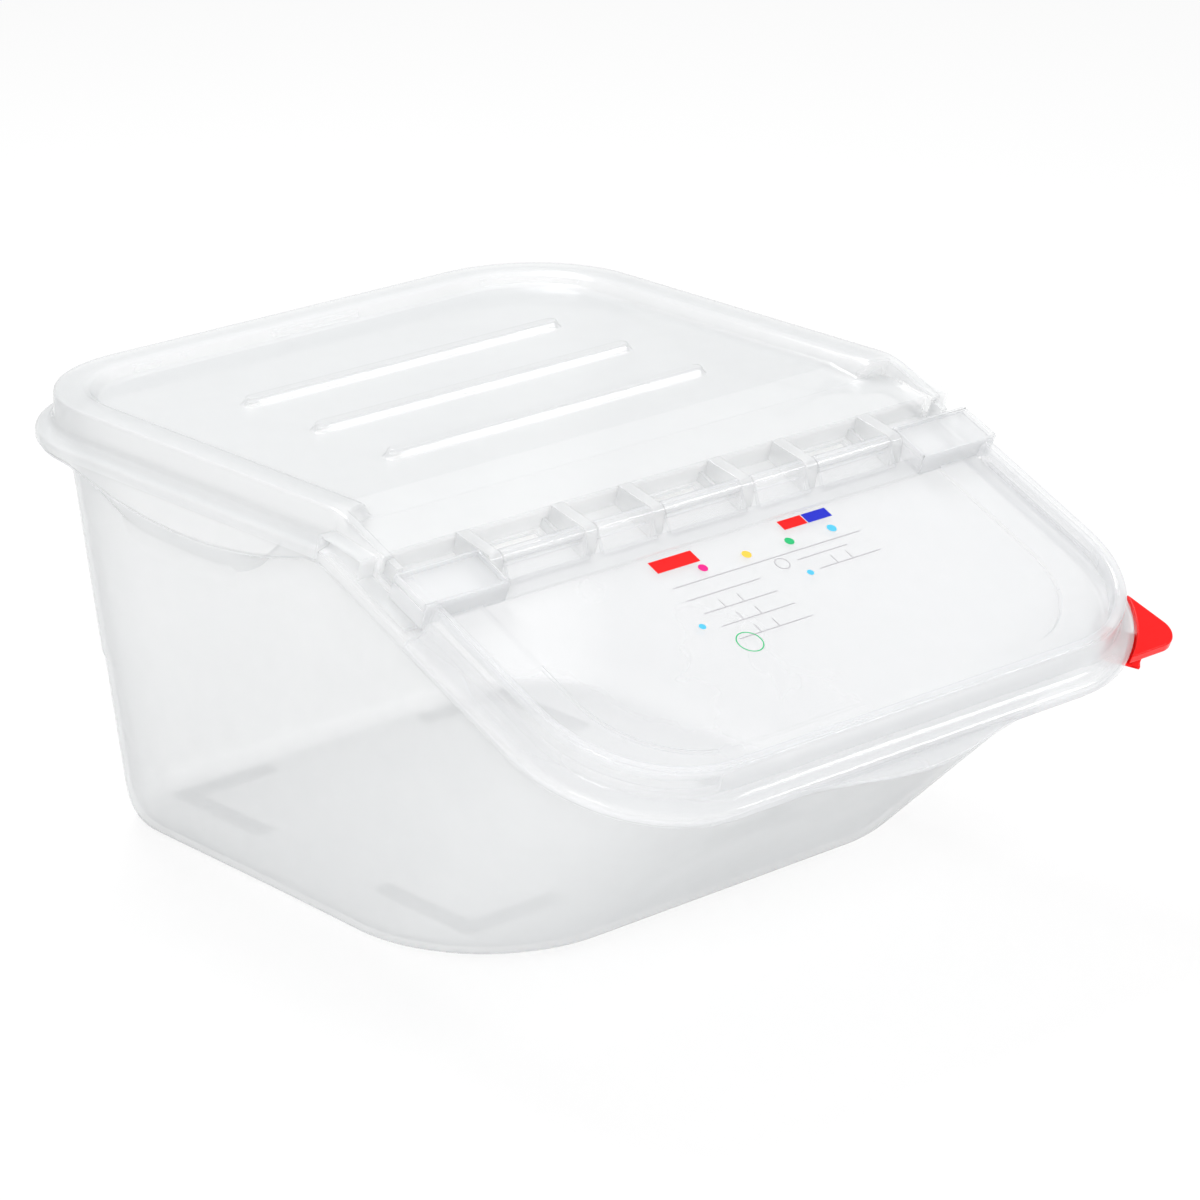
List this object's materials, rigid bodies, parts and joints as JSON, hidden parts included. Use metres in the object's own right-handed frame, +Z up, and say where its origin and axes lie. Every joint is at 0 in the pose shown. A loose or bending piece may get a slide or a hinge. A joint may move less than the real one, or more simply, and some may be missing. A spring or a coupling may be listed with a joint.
{
  "type": "rice bin",
  "caption": "Hopper-shaped food storage bin with a level rear cover, a hinged sloping front flap and a colour clip at one corner.",
  "frame": {"origin": "middle of the bin's box, on the plane it stands on", "axes": "+Z up, front (the flap and lifting lip) towards -Y, +X to the right seen from the front"},
  "size_m": [0.3252, 0.4252, 0.2],
  "materials": {
    "frosted_tub": "translucent, slightly frosted polypropylene",
    "clear_cover": "satin, half-clear moulded plastic",
    "clear_flap": "satin, half-clear moulded plastic",
    "red_clip": "smooth glossy moulding",
    "label_print": "thin coloured label marks"
  },
  "bodies": {
    "base": {"tub": "frosted_tub"},
    "cover": {"rear_cover": "clear_cover"},
    "flap": {"flip_lid": "clear_flap"},
    "clip": {"colour_clip": "red_clip"}
  },
  "joints": [
    {"name": "cover_lift", "type": "slide", "parent": "base", "child": "cover", "axis": [0, 0, 1], "range_m": [0, 0.06]},
    {"name": "flap_hinge", "type": "hinge", "parent": "cover", "child": "flap", "pos_m": [0, -0.07474, 0.1795], "axis": [-1, 0, 0], "range_deg": [0, 155]},
    {"name": "clip_pull", "type": "slide", "parent": "base", "child": "clip", "axis": [0.7071, -0.649, -0.2808], "range_m": [0, 0.03]}
  ]
}
